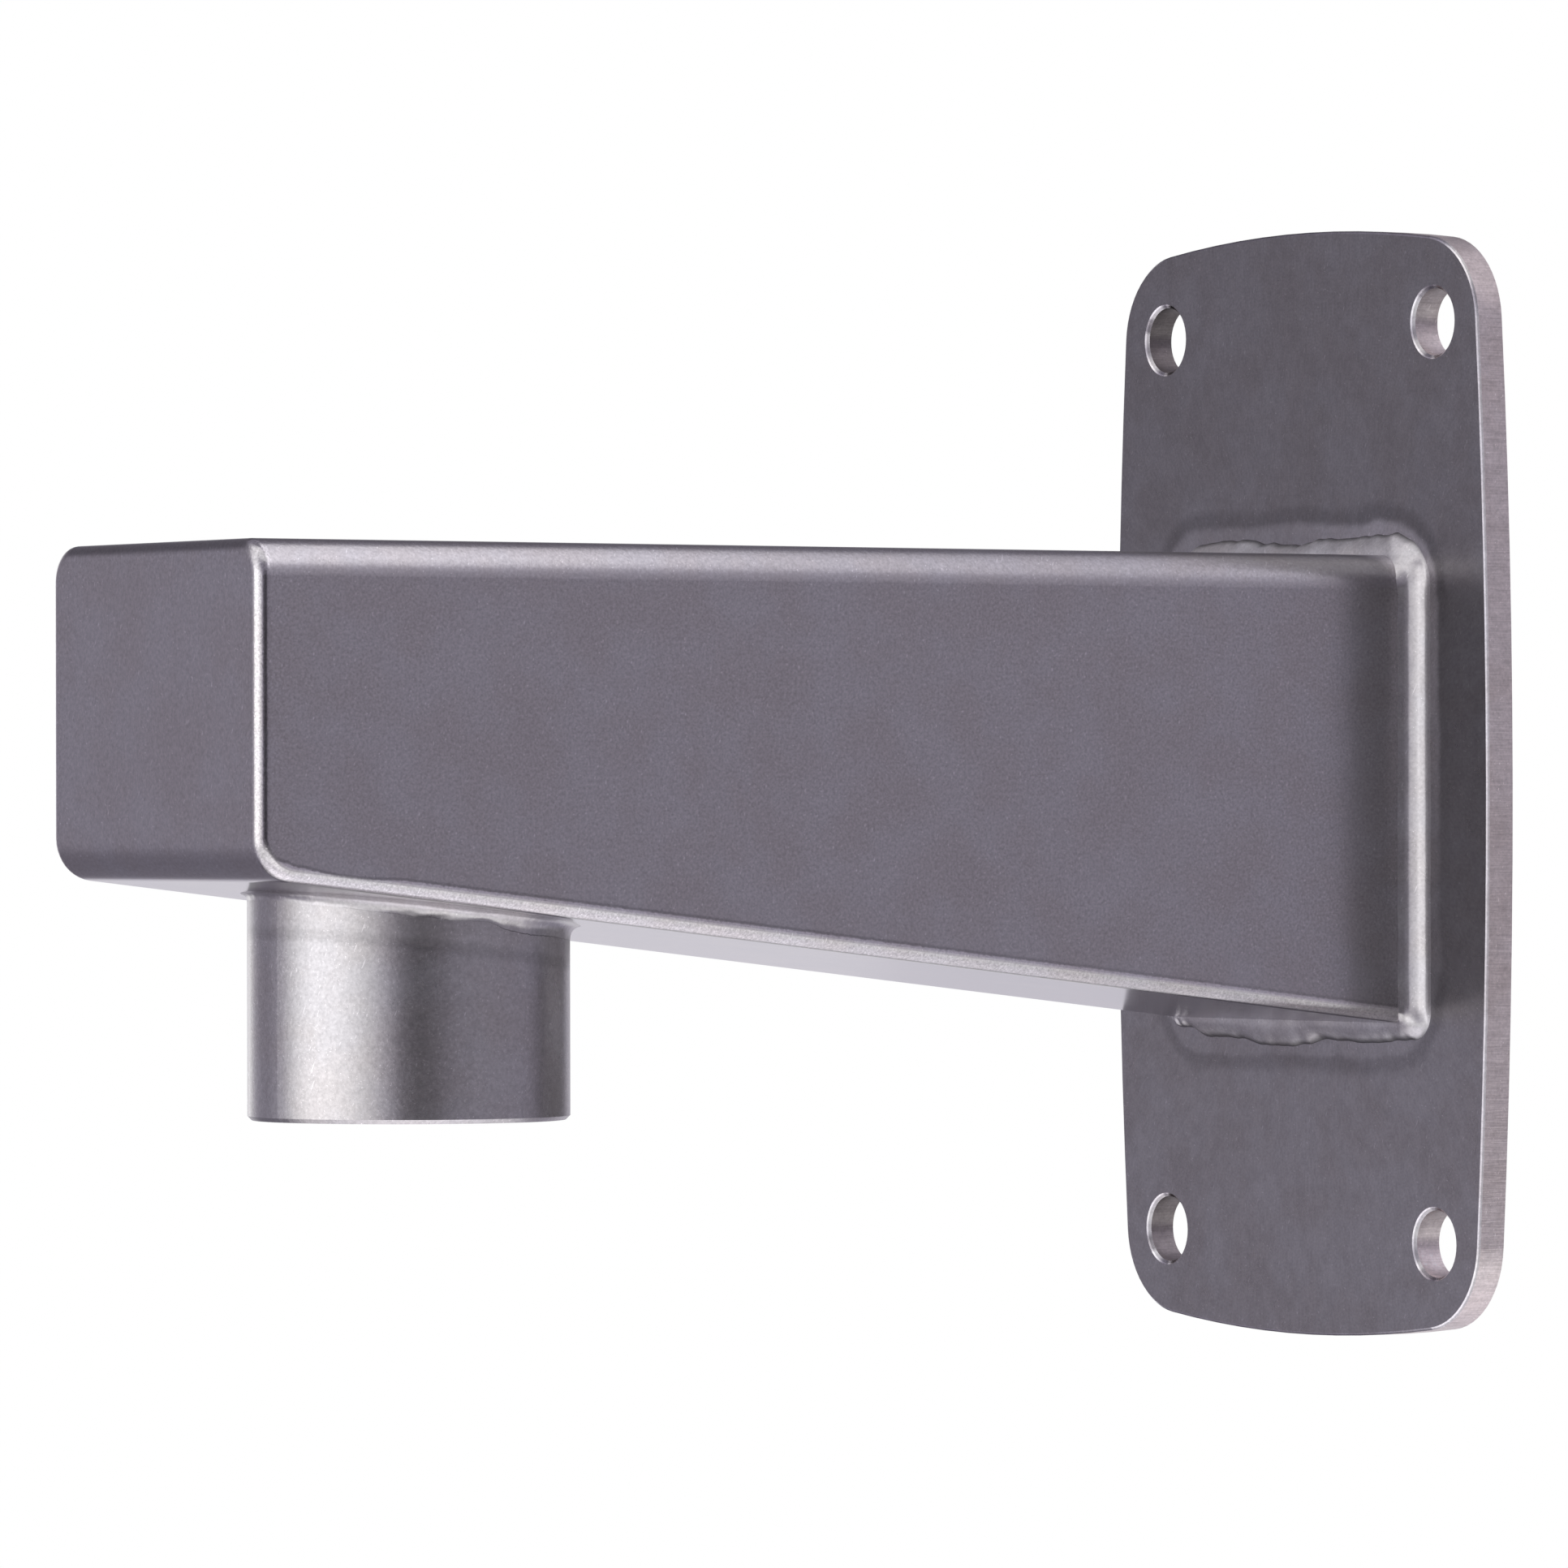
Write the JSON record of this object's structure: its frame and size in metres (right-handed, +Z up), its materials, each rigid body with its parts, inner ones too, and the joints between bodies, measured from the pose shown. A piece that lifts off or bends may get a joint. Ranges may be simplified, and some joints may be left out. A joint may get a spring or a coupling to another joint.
{
  "type": "camera wall bracket",
  "caption": "Welded stainless steel wall bracket for a camera: a bolted plate, a hollow tapering arm that carries the cable, and a threaded pipe coupling under its end.",
  "frame": {"origin": "middle of the wall plate's back face, which is the middle of its bolt pattern", "axes": "+X leaves the wall along the arm, +Z is up, +Y completes the right-handed frame"},
  "size_m": [0.2632, 0.125, 0.2164],
  "materials": {
    "plate_steel": "satin, electropolished stainless plate",
    "sheet_steel": "satin, electropolished stainless sheet",
    "tube_steel": "satin, turned and electropolished stainless tube",
    "weld_metal": "smooth weld bead, electropolished"
  },
  "bodies": {
    "root": {"wall_plate": "plate_steel", "arm_channel": "sheet_steel", "front_and_underside_strip": "sheet_steel", "pipe_coupling": "tube_steel", "plate_weld": "weld_metal", "coupling_weld": "weld_metal"}
  },
  "joints": []
}
